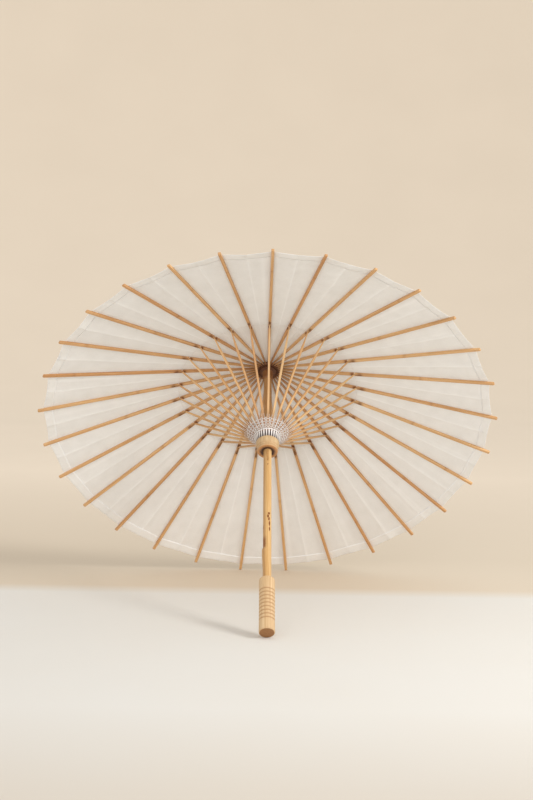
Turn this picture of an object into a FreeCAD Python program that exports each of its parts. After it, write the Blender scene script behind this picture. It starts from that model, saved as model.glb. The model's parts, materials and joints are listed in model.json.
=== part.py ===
"""Oil paper umbrella, standing open on the end of its handle and its two lowest rib tips.

Every piece is first built upright: +Z along the shaft towards the crown, with Z = 0 in the plane of the
rib tips, and rib 1 towards -Y. leaning() then tips the pieces back together and stands them on the floor.
"""

import FreeCAD, Part
import math
import os

from FreeCAD import Vector

# ---- driving dimensions, in millimetres and degrees ----
RIB_COUNT = 29
CANOPY_RADIUS = 400.0        # shaft axis to the centre of a rib's rounded tip
RIB_SLOPE = 19.0             # how far an open rib falls below square to the shaft
RIB_CLOSED = 86.0            # the same angle with the umbrella closed
HINGE_RADIUS = 17.0          # circle of the ribs' hinges in the top notch
JOINT_RADIUS = 159.0         # circle of the rib and stretcher joints, open

RIB_WIDTH = 4.7
RIB_DEPTH = 4.5
RIB_TONGUE_WIDTH = 1.8
RIB_TONGUE_DEPTH = 4.0
RIB_TONGUE_LENGTH = 10.0
RIB_TAPER_START = 14.0       # distance from the hinge where the rib begins to widen
RIB_TAPER_END = 120.0        # and where it reaches its full width
RIB_SLOT_WIDTH = 2.2
RIB_SLOT_ROOF = 0.5          # bamboo left above the stretcher's slot
RIB_SLOT_INWARD = 5.0
RIB_SLOT_OUTWARD = 32.0

STRETCHER_WIDTH = 3.6
STRETCHER_DEPTH = 3.2
STRETCHER_TONGUE_WIDTH = 1.7
STRETCHER_TONGUE_LENGTH = 8.0
STRETCHER_INNER_TAPER = 14.0
STRETCHER_OUTER_TAPER = 34.0

THREAD_RADIUS = 0.4
THREAD_HOLE_RADIUS = 0.5

SHAFT_RADIUS = 7.0
SHAFT_TOP = 158.0
SHAFT_BOTTOM = -438.0
BORE_CLEARANCE = 0.05        # between the shaft and the pieces fixed on it

HANDLE_RADIUS = 13.0
HANDLE_TOP = -355.0
HANDLE_BOTTOM = -463.0
HANDLE_EDGE = 1.5            # rounding of the end that stands on the floor
HANDLE_SHOULDER = 2.0        # rounding where the shaft goes in
GROOVE_COUNT = 9
GROOVE_DEPTH = 0.9
GROOVE_TOP = -380.5
GROOVE_PITCH = 7.4

NOTCH_RADIUS = 22.0
NOTCH_CORE_RADIUS = 14.2
NOTCH_NECK_RADIUS = 9.0
NOTCH_BOTTOM = 108.0
NOTCH_SLOT_BOTTOM = 128.5
NOTCH_SLOT_WIDTH = 2.2

RUNNER_TOP = -31.0
RUNNER_SLOT_BOTTOM = -49.0
RUNNER_BOTTOM = -69.0
RUNNER_RADIUS = 22.4
RUNNER_WAIST_RADIUS = 20.2
RUNNER_LIP_RADIUS = 17.8
RUNNER_CORE_RADIUS = 15.5
RUNNER_BORE_RADIUS = 7.8
RUNNER_SLOT_WIDTH = 2.3
RUNNER_PIVOT_RADIUS = 19.0
RUNNER_PIVOT_Z = -35.0

LACING_ROWS = 3
LACING_PITCH = 9.0           # along the stretchers, from the runner's pivots outwards
LACING_THREAD_RADIUS = 0.35

PAPER_THICKNESS = 0.4
PAPER_GAP = 0.4              # between the ribs' backs and the paper
PAPER_RIM_RADIUS = 393.0
PAPER_HOLE_RADIUS = 8.0
RIM_STRIP_WIDTH = 15.0
RIM_STRIP_THICKNESS = 0.3

FINIAL_RADIUS = 15.0
FINIAL_TOP = 176.0
FINIAL_BORE_TOP = 158.5

PIN_RADIUS = 1.0
PIN_INSET = 0.5              # a pin's ends below the surface it goes in through
NOTCH_PIN_Z = 113.0
HANDLE_PIN_Z = -366.0

CATCH_WIDTH = 2.2
CATCH_TOP = -70.2
CATCH_PIN_Z = -94.0
CATCH_PIN_DEPTH = 1.9        # below the shaft's surface
CATCH_PIN_RADIUS = 0.6
CATCH_PIN_INSET = 0.6
CATCH_THICKNESS = 1.5
CATCH_NOSE = 2.0             # how far the nose stands out of the shaft
CATCH_PRESS = 6.0            # degrees that the catch swings in
CATCH_POCKET_WIDTH = 2.9
CATCH_POCKET_FLOOR = -2.2

# ---- what follows from them ----
STEP_ANGLE = 360.0 / RIB_COUNT
FIRST_RIB_ANGLE = -90.0
SLOPE = math.radians(RIB_SLOPE)
RIB_LENGTH = (CANOPY_RADIUS - HINGE_RADIUS) / math.cos(SLOPE)
HINGE_Z = (CANOPY_RADIUS - HINGE_RADIUS) * math.tan(SLOPE)
JOINT_DISTANCE = (JOINT_RADIUS - HINGE_RADIUS) / math.cos(SLOPE)
JOINT_Z = HINGE_Z - JOINT_DISTANCE * math.sin(SLOPE)
STRETCHER_RUN = JOINT_RADIUS - RUNNER_PIVOT_RADIUS
STRETCHER_RISE = JOINT_Z - RUNNER_PIVOT_Z
STRETCHER_LENGTH = math.hypot(STRETCHER_RUN, STRETCHER_RISE)
STRETCHER_ANGLE = math.degrees(math.atan2(STRETCHER_RISE, STRETCHER_RUN))
PAPER_BOTTOM_OFFSET = (RIB_DEPTH / 2 + PAPER_GAP) / math.cos(SLOPE)
PAPER_TOP_OFFSET = PAPER_BOTTOM_OFFSET + PAPER_THICKNESS / math.cos(SLOPE)
CATCH_PIN_Y = CATCH_PIN_DEPTH - SHAFT_RADIUS
CATCH_PIN_REACH = math.sqrt(SHAFT_RADIUS ** 2 - CATCH_PIN_Y ** 2) - CATCH_PIN_INSET


def closed_runner_travel():
    """How far the runner slides down the shaft as the ribs go from RIB_SLOPE to RIB_CLOSED."""
    closed = math.radians(RIB_CLOSED)
    joint_radius = HINGE_RADIUS + JOINT_DISTANCE * math.cos(closed)
    joint_z = HINGE_Z - JOINT_DISTANCE * math.sin(closed)
    rise = math.sqrt(STRETCHER_LENGTH ** 2 - (joint_radius - RUNNER_PIVOT_RADIUS) ** 2)
    return RUNNER_PIVOT_Z - (joint_z - rise)


def lean_angle():
    """Angle of the shaft from the vertical with the handle's edge and the two lowest tips on the floor.

    A point at radius r and height z on the low side is r sin(lean) - z cos(lean) below the origin.
    """
    half_step = math.radians(STEP_ANGLE / 2)
    tip_reach = CANOPY_RADIUS * math.cos(half_step) + RIB_WIDTH / 2 * math.sin(half_step)
    edge_reach = HANDLE_RADIUS - HANDLE_EDGE
    edge_drop = -(HANDLE_BOTTOM + HANDLE_EDGE)
    across = tip_reach - edge_reach
    return math.atan2(edge_drop, across) + math.asin(
        (HANDLE_EDGE - RIB_DEPTH / 2) / math.hypot(across, edge_drop)
    )


RUNNER_TRAVEL = closed_runner_travel()
LEAN = math.degrees(lean_angle())


# ---- small helpers ----
def box(x0, x1, y0, y1, z0, z1):
    return Part.makeBox(x1 - x0, y1 - y0, z1 - z0, Vector(x0, y0, z0))


def cylinder(radius, z0, z1):
    return Part.makeCylinder(radius, z1 - z0, Vector(0, 0, z0))


def turned(points):
    """A turned solid: points are (radius, z) round the section, an arc where a third pair is its middle."""
    edges = []
    for start, end in zip(points, points[1:] + points[:1]):
        a = Vector(start[0], 0, start[1])
        b = Vector(end[0], 0, end[1])
        if len(end) == 4:
            edges.append(Part.Arc(a, Vector(end[2], 0, end[3]), b).toShape())
        else:
            edges.append(Part.LineSegment(a, b).toShape())
    face = Part.Face(Part.Wire(edges))
    return face.revolve(Vector(0, 0, 0), Vector(0, 0, 1), 360)


def at_angle(shape, angle):
    """shape, built in the XZ plane, turned round the shaft."""
    copy = shape.copy()
    copy.rotate(Vector(0, 0, 0), Vector(0, 0, 1), angle)
    return copy


def rib_angle(number):
    """Direction of a rib round the shaft, counting from 0."""
    return FIRST_RIB_ANGLE + number * STEP_ANGLE


def all_round(shape, offset=0.0):
    """A copy of shape at every rib, or offset steps past it."""
    return [at_angle(shape, rib_angle(i + offset)) for i in range(RIB_COUNT)]


def bar(length, end_depth, depth, depth_from, widths):
    """A flat bar along +X with round ends at 0 and length.

    end_depth holds at 0, depth from depth_from on; widths are (x, width) pairs along the bar.
    """
    end = end_depth / 2
    half = depth / 2
    side = [
        Part.Arc(Vector(0, 0, -end), Vector(-end, 0, 0), Vector(0, 0, end)).toShape(),
        Part.LineSegment(Vector(0, 0, end), Vector(depth_from, 0, half)).toShape(),
        Part.LineSegment(Vector(depth_from, 0, half), Vector(length, 0, half)).toShape(),
        Part.Arc(Vector(length, 0, half), Vector(length + half, 0, 0), Vector(length, 0, -half)).toShape(),
        Part.LineSegment(Vector(length, 0, -half), Vector(depth_from, 0, -half)).toShape(),
        Part.LineSegment(Vector(depth_from, 0, -half), Vector(0, 0, -end)).toShape(),
    ]
    widest = max(width for _, width in widths)
    profile = Part.Face(Part.Wire(side)).extrude(Vector(0, widest, 0))
    profile.translate(Vector(0, -widest / 2, 0))
    left = [Vector(x, width / 2, -depth) for x, width in widths]
    right = [Vector(x, -width / 2, -depth) for x, width in reversed(widths)]
    outline = Part.makePolygon(left + right + left[:1])
    plan = Part.Face(outline).extrude(Vector(0, 0, 2 * depth))
    return profile.common(plan).Solids[0]


def cross_hole(x, radius, half_length):
    """A cylinder across a bar at distance x along it."""
    return Part.makeCylinder(radius, 2 * half_length, Vector(x, -half_length, 0), Vector(0, 1, 0))


def pin(radius, reach, y, z):
    """A cylinder along X across the shaft, reaching as far to both sides."""
    return Part.makeCylinder(radius, 2 * reach, Vector(-reach, y, z), Vector(1, 0, 0))


def thread_ring(ring_radius, z, thread_radius):
    return Part.makeTorus(ring_radius, thread_radius, Vector(0, 0, z))


def pyramid(rim_radius, hole_radius, offset):
    """A many-sided cone over the ribs, its ridges offset above the ribs' centre lines."""
    wires = []
    for radius in (rim_radius, hole_radius):
        z = (CANOPY_RADIUS - radius) * math.tan(SLOPE) + offset
        angles = [math.radians(rib_angle(i)) for i in range(RIB_COUNT)]
        ring = [Vector(radius * math.cos(a), radius * math.sin(a), z) for a in angles]
        wires.append(Part.makePolygon(ring + ring[:1]))
    return Part.makeLoft(wires, True, True)


# ---- the frame ----
def rib():
    """One split bamboo rib along +X from its hinge, its back towards +Z."""
    widths = [
        (-RIB_DEPTH, RIB_TONGUE_WIDTH),
        (RIB_TONGUE_LENGTH, RIB_TONGUE_WIDTH),
        (RIB_TAPER_START, RIB_TONGUE_WIDTH + 0.4),
        (RIB_TAPER_END, RIB_WIDTH),
        (RIB_LENGTH + RIB_DEPTH, RIB_WIDTH),
    ]
    blank = bar(RIB_LENGTH, RIB_TONGUE_DEPTH, RIB_DEPTH, RIB_TAPER_START, widths)
    slot = box(
        JOINT_DISTANCE - RIB_SLOT_INWARD,
        JOINT_DISTANCE + RIB_SLOT_OUTWARD,
        -RIB_SLOT_WIDTH / 2,
        RIB_SLOT_WIDTH / 2,
        -RIB_DEPTH,
        RIB_DEPTH / 2 - RIB_SLOT_ROOF,
    )
    hinge_hole = cross_hole(0, THREAD_HOLE_RADIUS, RIB_WIDTH)
    joint_hole = cross_hole(JOINT_DISTANCE, THREAD_HOLE_RADIUS, RIB_WIDTH)
    return blank.cut(slot).cut(hinge_hole).cut(joint_hole)


def open_rib():
    """The rib in its open place, in the XZ plane."""
    piece = rib()
    piece.rotate(Vector(0, 0, 0), Vector(0, 1, 0), RIB_SLOPE)
    piece.translate(Vector(HINGE_RADIUS, 0, HINGE_Z))
    return piece


def stretcher():
    """One stretcher in its open place, from the runner up to its rib, in the XZ plane."""
    tongue = STRETCHER_TONGUE_WIDTH
    reach = STRETCHER_DEPTH
    widths = [
        (-reach, tongue),
        (STRETCHER_TONGUE_LENGTH, tongue),
        (STRETCHER_INNER_TAPER, STRETCHER_WIDTH),
        (STRETCHER_LENGTH - STRETCHER_OUTER_TAPER, STRETCHER_WIDTH),
        (STRETCHER_LENGTH - STRETCHER_TONGUE_LENGTH, tongue),
        (STRETCHER_LENGTH + reach, tongue),
    ]
    piece = bar(STRETCHER_LENGTH, reach, reach, STRETCHER_TONGUE_LENGTH, widths)
    piece = piece.cut(cross_hole(0, THREAD_HOLE_RADIUS, STRETCHER_WIDTH))
    piece = piece.cut(cross_hole(STRETCHER_LENGTH, THREAD_HOLE_RADIUS, STRETCHER_WIDTH))
    piece.rotate(Vector(0, 0, 0), Vector(0, 1, 0), -STRETCHER_ANGLE)
    piece.translate(Vector(RUNNER_PIVOT_RADIUS, 0, RUNNER_PIVOT_Z))
    return piece


def slots(core_radius, width, z0, z1):
    """The cutters for a notch's slots, from its core outwards."""
    cutter = box(core_radius, RUNNER_RADIUS + NOTCH_RADIUS, -width / 2, width / 2, z0, z1)
    return all_round(cutter)


def top_notch():
    """The slotted block on the shaft that holds the ribs' inner ends, its top under the paper."""
    cone = PAPER_BOTTOM_OFFSET - PAPER_GAP / math.cos(SLOPE)

    def top(radius):
        return (CANOPY_RADIUS - radius) * math.tan(SLOPE) + cone

    bore = SHAFT_RADIUS + BORE_CLEARANCE
    block = turned([
        (bore, NOTCH_BOTTOM),
        (NOTCH_NECK_RADIUS - 1.5, NOTCH_BOTTOM),
        (NOTCH_NECK_RADIUS, NOTCH_BOTTOM + 1.5),
        (NOTCH_NECK_RADIUS, NOTCH_SLOT_BOTTOM - 3.0),
        (NOTCH_RADIUS - 1.5, NOTCH_SLOT_BOTTOM),
        (NOTCH_RADIUS, NOTCH_SLOT_BOTTOM + 1.5),
        (NOTCH_RADIUS, top(NOTCH_RADIUS)),
        (bore, top(bore)),
    ])
    block = block.cut(slots(NOTCH_CORE_RADIUS, NOTCH_SLOT_WIDTH, NOTCH_BOTTOM, top(0)))
    block = block.cut(thread_ring(HINGE_RADIUS, HINGE_Z, THREAD_HOLE_RADIUS))
    return block.cut(notch_pin_hole())


def notch_pin():
    """The dowel through the top notch and the shaft."""
    return pin(PIN_RADIUS, NOTCH_NECK_RADIUS - PIN_INSET, 0, NOTCH_PIN_Z)


def notch_pin_hole():
    return pin(PIN_RADIUS + BORE_CLEARANCE, NOTCH_NECK_RADIUS + PIN_INSET, 0, NOTCH_PIN_Z)


def runner():
    """The sliding block that carries the stretchers' inner ends."""
    bore = RUNNER_BORE_RADIUS
    block = turned([
        (bore + 1.0, RUNNER_BOTTOM),
        (RUNNER_LIP_RADIUS - 1.5, RUNNER_BOTTOM),
        (RUNNER_LIP_RADIUS, RUNNER_BOTTOM + 1.5, RUNNER_LIP_RADIUS - 0.44, RUNNER_BOTTOM + 0.44),
        (RUNNER_LIP_RADIUS + 0.5, RUNNER_BOTTOM + 9.0),
        (RUNNER_WAIST_RADIUS - 1.0, RUNNER_BOTTOM + 10.5),
        (RUNNER_WAIST_RADIUS, RUNNER_SLOT_BOTTOM - 1.0),
        (RUNNER_WAIST_RADIUS, RUNNER_SLOT_BOTTOM),
        (RUNNER_RADIUS, RUNNER_TOP - 2.0),
        (RUNNER_RADIUS - 0.6, RUNNER_TOP),
        (bore + 0.8, RUNNER_TOP),
        (bore, RUNNER_TOP - 0.8),
        (bore, RUNNER_BOTTOM + 1.0),
    ])
    block = block.cut(slots(RUNNER_CORE_RADIUS, RUNNER_SLOT_WIDTH, RUNNER_SLOT_BOTTOM, 0))
    return block.cut(thread_ring(RUNNER_PIVOT_RADIUS, RUNNER_PIVOT_Z, THREAD_HOLE_RADIUS))


def runner_lacing():
    """Short threads between neighbouring stretchers, in rows outside the runner."""
    angle = math.radians(STRETCHER_ANGLE)
    half_step = math.radians(STEP_ANGLE / 2)
    ties = []
    for row in range(1, LACING_ROWS + 1):
        radius = RUNNER_PIVOT_RADIUS + row * LACING_PITCH * math.cos(angle)
        z = RUNNER_PIVOT_Z + row * LACING_PITCH * math.sin(angle)
        middle = radius * math.cos(half_step)
        half = radius * math.sin(half_step) - STRETCHER_WIDTH / 2 - LACING_THREAD_RADIUS
        tie = Part.makeCylinder(LACING_THREAD_RADIUS, 2 * half, Vector(middle, -half, z), Vector(0, 1, 0))
        ties += all_round(tie, 0.5)
    return Part.makeCompound(ties)


# ---- the shaft and what is fixed on it ----
def catch_pin():
    """The pin that the catch swings on, across the shaft."""
    return pin(CATCH_PIN_RADIUS, CATCH_PIN_REACH, CATCH_PIN_Y, CATCH_PIN_Z)


def catch_pin_hole():
    return pin(CATCH_PIN_RADIUS + BORE_CLEARANCE, CATCH_PIN_REACH + BORE_CLEARANCE, CATCH_PIN_Y, CATCH_PIN_Z)


def catch():
    """The springy tongue that holds the runner up: flat end under the runner, long slope below."""
    outside = -SHAFT_RADIUS
    front = CATCH_PIN_Y - CATCH_THICKNESS / 2
    back = CATCH_PIN_Y + CATCH_THICKNESS / 2
    outline = [
        (outside - CATCH_NOSE, CATCH_TOP),
        (outside - CATCH_NOSE, CATCH_TOP - 3.0),
        (outside + 0.2, CATCH_PIN_Z + 6.0),
        (front, CATCH_PIN_Z + 1.0),
        (front, CATCH_PIN_Z - 1.2),
        (back, CATCH_PIN_Z - 1.2),
        (back, CATCH_PIN_Z + 3.0),
        (outside + CATCH_THICKNESS, CATCH_TOP),
    ]
    points = [Vector(-CATCH_WIDTH / 2, y, z) for y, z in outline]
    piece = Part.Face(Part.makePolygon(points + points[:1])).extrude(Vector(CATCH_WIDTH, 0, 0))
    return piece.cut(catch_pin_hole())


def shaft():
    """The bamboo stick, with the catch's pocket and the holes for its pins."""
    stick = turned([
        (0, SHAFT_BOTTOM),
        (SHAFT_RADIUS - 0.5, SHAFT_BOTTOM),
        (SHAFT_RADIUS, SHAFT_BOTTOM + 0.5),
        (SHAFT_RADIUS, SHAFT_TOP - 0.5),
        (SHAFT_RADIUS - 0.5, SHAFT_TOP),
        (0, SHAFT_TOP),
    ])
    half = CATCH_POCKET_WIDTH / 2
    pocket = box(-half, half, -2 * SHAFT_RADIUS, CATCH_POCKET_FLOOR, CATCH_PIN_Z - 2.0, CATCH_TOP + 0.5)
    stick = stick.cut(pocket).cut(catch_pin_hole())
    return stick.cut(notch_pin_hole()).cut(handle_pin_hole())


def handle():
    """The turned grip: a plain band, a run of rounded rings, a plain band and a flat end."""
    bore = SHAFT_RADIUS + BORE_CLEARANCE
    bore_bottom = SHAFT_BOTTOM - 1.0
    valley = HANDLE_RADIUS - GROOVE_DEPTH
    rings = [
        (valley, GROOVE_TOP - i * GROOVE_PITCH, HANDLE_RADIUS, GROOVE_TOP - (i - 0.5) * GROOVE_PITCH)
        for i in range(1, GROOVE_COUNT)
    ]
    shoulder = HANDLE_SHOULDER
    shoulder_middle = shoulder * (1 - math.sqrt(0.5))
    edge_middle = HANDLE_EDGE * (1 - math.sqrt(0.5))
    block = turned([
        (bore, HANDLE_TOP),
        (HANDLE_RADIUS - shoulder, HANDLE_TOP),
        (HANDLE_RADIUS, HANDLE_TOP - shoulder, HANDLE_RADIUS - shoulder_middle, HANDLE_TOP - shoulder_middle),
        (HANDLE_RADIUS, GROOVE_TOP + GROOVE_PITCH / 2),
        (valley, GROOVE_TOP),
        *rings,
        (HANDLE_RADIUS, GROOVE_TOP - (GROOVE_COUNT - 0.5) * GROOVE_PITCH),
        (HANDLE_RADIUS, HANDLE_BOTTOM + HANDLE_EDGE),
        (HANDLE_RADIUS - HANDLE_EDGE, HANDLE_BOTTOM, HANDLE_RADIUS - edge_middle, HANDLE_BOTTOM + edge_middle),
        (0, HANDLE_BOTTOM),
        (0, bore_bottom),
        (bore, bore_bottom),
    ])
    return block.cut(handle_pin_hole())


def handle_pin():
    """The dowel through the handle and the shaft."""
    return pin(PIN_RADIUS, HANDLE_RADIUS - PIN_INSET, 0, HANDLE_PIN_Z)


def handle_pin_hole():
    return pin(PIN_RADIUS + BORE_CLEARANCE, HANDLE_RADIUS + PIN_INSET, 0, HANDLE_PIN_Z)


def finial():
    """The turned cap on the shaft's upper end, over the middle of the paper."""
    bore = SHAFT_RADIUS + BORE_CLEARANCE
    gap = PAPER_GAP / math.cos(SLOPE)

    def seat(radius):
        return (CANOPY_RADIUS - radius) * math.tan(SLOPE) + PAPER_TOP_OFFSET + gap

    return turned([
        (bore, seat(bore)),
        (FINIAL_RADIUS, seat(FINIAL_RADIUS)),
        (FINIAL_RADIUS, seat(FINIAL_RADIUS) + 2.5),
        (10.5, 152.0, 14.0, 146.5),
        (2.5, FINIAL_TOP, 9.5, 168.0),
        (0, FINIAL_TOP),
        (0, FINIAL_BORE_TOP),
        (bore, FINIAL_BORE_TOP),
    ])


# ---- the paper ----
def canopy():
    """The paper cover: a flat panel between each two ribs, open round the shaft."""
    outer = pyramid(PAPER_RIM_RADIUS, PAPER_HOLE_RADIUS, PAPER_TOP_OFFSET)
    inner = pyramid(PAPER_RIM_RADIUS + 5.0, PAPER_HOLE_RADIUS - 3.0, PAPER_BOTTOM_OFFSET)
    sheet = outer.cut(inner)
    return sheet.cut(cylinder(PAPER_HOLE_RADIUS, 0, 2 * HINGE_Z))


def rim_strip():
    """The strip of paper pasted round the rim, on top of the cover."""
    lift = RIM_STRIP_THICKNESS / math.cos(SLOPE)
    rim = PAPER_RIM_RADIUS - 1.0
    inner_edge = PAPER_RIM_RADIUS - RIM_STRIP_WIDTH
    outer = pyramid(rim, inner_edge, PAPER_TOP_OFFSET + lift)
    inner = pyramid(rim + 5.0, inner_edge - 5.0, PAPER_TOP_OFFSET + 0.02)
    return outer.cut(inner)


# ---- assembly ----
def upright_pieces():
    """Every node's shape in the upright frame."""
    pieces = {
        "shaft": shaft(),
        "handle": handle(),
        "handle_pin": handle_pin(),
        "top_notch": top_notch(),
        "top_notch_pin": notch_pin(),
        "top_notch_thread": thread_ring(HINGE_RADIUS, HINGE_Z, THREAD_RADIUS),
        "finial": finial(),
        "paper_cover": canopy(),
        "rim_strip": rim_strip(),
        "joint_thread": thread_ring(JOINT_RADIUS, JOINT_Z, THREAD_RADIUS),
        "runner": runner(),
        "runner_thread": thread_ring(RUNNER_PIVOT_RADIUS, RUNNER_PIVOT_Z, THREAD_RADIUS),
        "runner_lacing": runner_lacing(),
        "stretchers": Part.makeCompound(all_round(stretcher())),
        "catch": catch(),
        "catch_pin": catch_pin(),
    }
    one_rib = open_rib()
    for i in range(RIB_COUNT):
        pieces[f"rib_{i + 1:02d}"] = at_angle(one_rib, rib_angle(i))
    return pieces


def leaning(shape):
    """shape tipped back towards +Y about the middle of the rim's plane."""
    copy = shape.copy()
    copy.rotate(Vector(0, 0, 0), Vector(1, 0, 0), -LEAN)
    return copy


def floor_shift(shapes):
    """The move that puts the bottom centre of all the shapes' box at the origin."""
    bounds = FreeCAD.BoundBox()
    for shape in shapes:
        bounds.add(shape.optimalBoundingBox())
    return Vector(-bounds.Center.x, -bounds.Center.y, -bounds.ZMin)


LEANING = {name: leaning(shape) for name, shape in upright_pieces().items()}
SHIFT = floor_shift(LEANING.values())

os.makedirs("parts", exist_ok=True)
for name, shape in LEANING.items():
    shape.translate(SHIFT)
    shape.exportStep(f"parts/{name}.step")
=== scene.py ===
"""Looks of an oil paper umbrella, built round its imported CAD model.

Pieces are made upright: +Z along the shaft towards the crown, Z = 0 in the plane of the rib tips and the
first rib towards -Y. PLACE then leans them as the real umbrella stands. Lengths are metres.
"""

import json
import math
import random

import bpy
from mathutils import Matrix, Vector, noise

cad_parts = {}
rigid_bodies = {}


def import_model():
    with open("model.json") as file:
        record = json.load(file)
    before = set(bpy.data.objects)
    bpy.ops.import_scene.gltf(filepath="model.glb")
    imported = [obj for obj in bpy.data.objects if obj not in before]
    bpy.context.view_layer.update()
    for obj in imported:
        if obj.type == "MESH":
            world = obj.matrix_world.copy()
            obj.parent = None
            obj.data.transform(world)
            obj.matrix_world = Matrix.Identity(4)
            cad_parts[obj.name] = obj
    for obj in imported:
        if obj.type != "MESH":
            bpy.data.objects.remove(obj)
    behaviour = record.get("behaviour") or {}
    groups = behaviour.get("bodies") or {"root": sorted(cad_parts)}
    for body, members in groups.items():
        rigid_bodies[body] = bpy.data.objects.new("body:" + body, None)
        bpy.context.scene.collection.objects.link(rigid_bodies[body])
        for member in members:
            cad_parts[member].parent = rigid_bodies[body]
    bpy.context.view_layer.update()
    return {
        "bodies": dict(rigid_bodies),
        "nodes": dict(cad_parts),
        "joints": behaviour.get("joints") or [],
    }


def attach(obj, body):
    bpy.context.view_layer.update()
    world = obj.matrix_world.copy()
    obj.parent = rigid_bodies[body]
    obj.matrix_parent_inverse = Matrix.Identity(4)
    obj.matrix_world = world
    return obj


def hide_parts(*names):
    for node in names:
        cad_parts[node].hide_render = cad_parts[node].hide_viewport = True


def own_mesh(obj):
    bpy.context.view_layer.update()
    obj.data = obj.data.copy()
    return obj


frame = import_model()

# ---- driving sizes ----
CANOPY_RADIUS = 0.400        # shaft axis to the centre of a rib's rounded tip
RIB_SLOPE = math.radians(19.0)
JOINT_RADIUS = 0.159         # circle of the rib and stretcher joints, open

RIB_WIDTH = 0.0047
RIB_DEPTH = 0.0045
RIB_TONGUE_WIDTH = 0.0018
RIB_TONGUE_DEPTH = 0.0040
RIB_TAPER_START = 0.014      # distance from the hinge where the rib begins to widen
RIB_TAPER_END = 0.120
RIB_TAPER_WIDTH = 0.0022     # its width where it begins
RIB_CHAMFER = 0.00035
RIB_SLOT_WIDTH = 0.0022
RIB_SLOT_ROOF = 0.0005
RIB_SLOT_INWARD = 0.005
RIB_SLOT_OUTWARD = 0.014

STRETCHER_WIDTH = 0.0036
STRETCHER_DEPTH = 0.0032
STRETCHER_TONGUE_WIDTH = 0.0017
STRETCHER_CHAMFER = 0.00045
RUNNER_PIVOT_RADIUS = 0.019
RUNNER_PIVOT_Z = -0.035
RUNNER_TOP = -0.031
RUNNER_SLOT_BOTTOM = -0.049
RUNNER_BOTTOM = -0.069
RUNNER_RADIUS = 0.0224

SHAFT_RADIUS = 0.007
SHAFT_TOP = 0.158
SHAFT_BOTTOM = -0.438
CATCH_POCKET_WIDTH = 0.0029
CATCH_POCKET_FLOOR = 0.0022
CATCH_POCKET_TOP = -0.0697
CATCH_POCKET_BOTTOM = -0.096

HANDLE_RADIUS = 0.013
HANDLE_TOP = -0.355
HANDLE_BOTTOM = -0.463
HANDLE_EDGE = 0.0015
HANDLE_SHOULDER = 0.002
GROOVE_COUNT = 9
GROOVE_TOP = -0.3805
GROOVE_PITCH = 0.0074
GROOVE_DEPTH = 0.0009

PAPER_LIFT = 0.00025         # inner face of the paper above the ribs' backs
PAPER_THICKNESS = 0.0002
PAPER_RIM_RADIUS = 0.393
PAPER_INNER_RADIUS = 0.016
PAPER_SAG = 0.0016           # how far the paper sinks between two ribs at the rim
CREASE_DEPTH = 0.0009        # fold line down the middle of each panel
SCALLOP = 0.0018             # how far the rim curves in between two tips
RIM_STRIP_WIDTH = 0.015
CROWN_PATCH_RADIUS = 0.021
CROWN_PATCH_HOLE = 0.0085

FINIAL_RADIUS = 0.015
FINIAL_TOP = 0.176

THREAD_RADIUS = 0.00032

# ---- places, from the frame ----
JOINTS = {joint["name"]: joint for joint in frame["joints"]}
RIBS = sorted(body for body in frame["bodies"] if body.startswith("rib_"))
RIB_COUNT = len(RIBS)
STEP = math.tau / RIB_COUNT
HINGES = [Vector(JOINTS[f"{rib}_fold"]["pos_m"]) for rib in RIBS]
HUB = sum(HINGES, Vector()) / RIB_COUNT
HINGE_RADIUS = (HINGES[0] - HUB).length
UP = -Vector(JOINTS["runner_slide"]["axis"])
BACK = (HUB - HINGES[0]).normalized()
RIGHT = BACK.cross(UP)
HINGE_Z = (CANOPY_RADIUS - HINGE_RADIUS) * math.tan(RIB_SLOPE)
ORIGIN = HUB - UP * HINGE_Z
PLACE = Matrix.Translation(ORIGIN) @ Matrix((RIGHT, BACK, UP)).transposed().to_4x4()

RIB_LENGTH = (CANOPY_RADIUS - HINGE_RADIUS) / math.cos(RIB_SLOPE)
JOINT_DISTANCE = (JOINT_RADIUS - HINGE_RADIUS) / math.cos(RIB_SLOPE)
JOINT_Z = HINGE_Z - JOINT_DISTANCE * math.sin(RIB_SLOPE)
ALONG_RIB = Matrix.Translation((HINGE_RADIUS, 0, HINGE_Z)) @ Matrix.Rotation(RIB_SLOPE, 4, "Y")
STRETCHER_RUN = JOINT_RADIUS - RUNNER_PIVOT_RADIUS
STRETCHER_RISE = JOINT_Z - RUNNER_PIVOT_Z
STRETCHER_LENGTH = math.hypot(STRETCHER_RUN, STRETCHER_RISE)
STRETCHER_ANGLE = math.atan2(STRETCHER_RISE, STRETCHER_RUN)


def turn(index):
    """Turns a piece made towards +X to rib number index, counting from 0."""
    return Matrix.Rotation(index * STEP - math.pi / 2, 4, "Z")


# ---- materials ----
def srgb(red, green, blue):
    """A colour given as 0 to 255 screen values, as a shader takes it."""
    parts = (red / 255, green / 255, blue / 255)
    linear = [c / 12.92 if c <= 0.04045 else ((c + 0.055) / 1.055) ** 2.4 for c in parts]
    return (*linear, 1.0)


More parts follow.
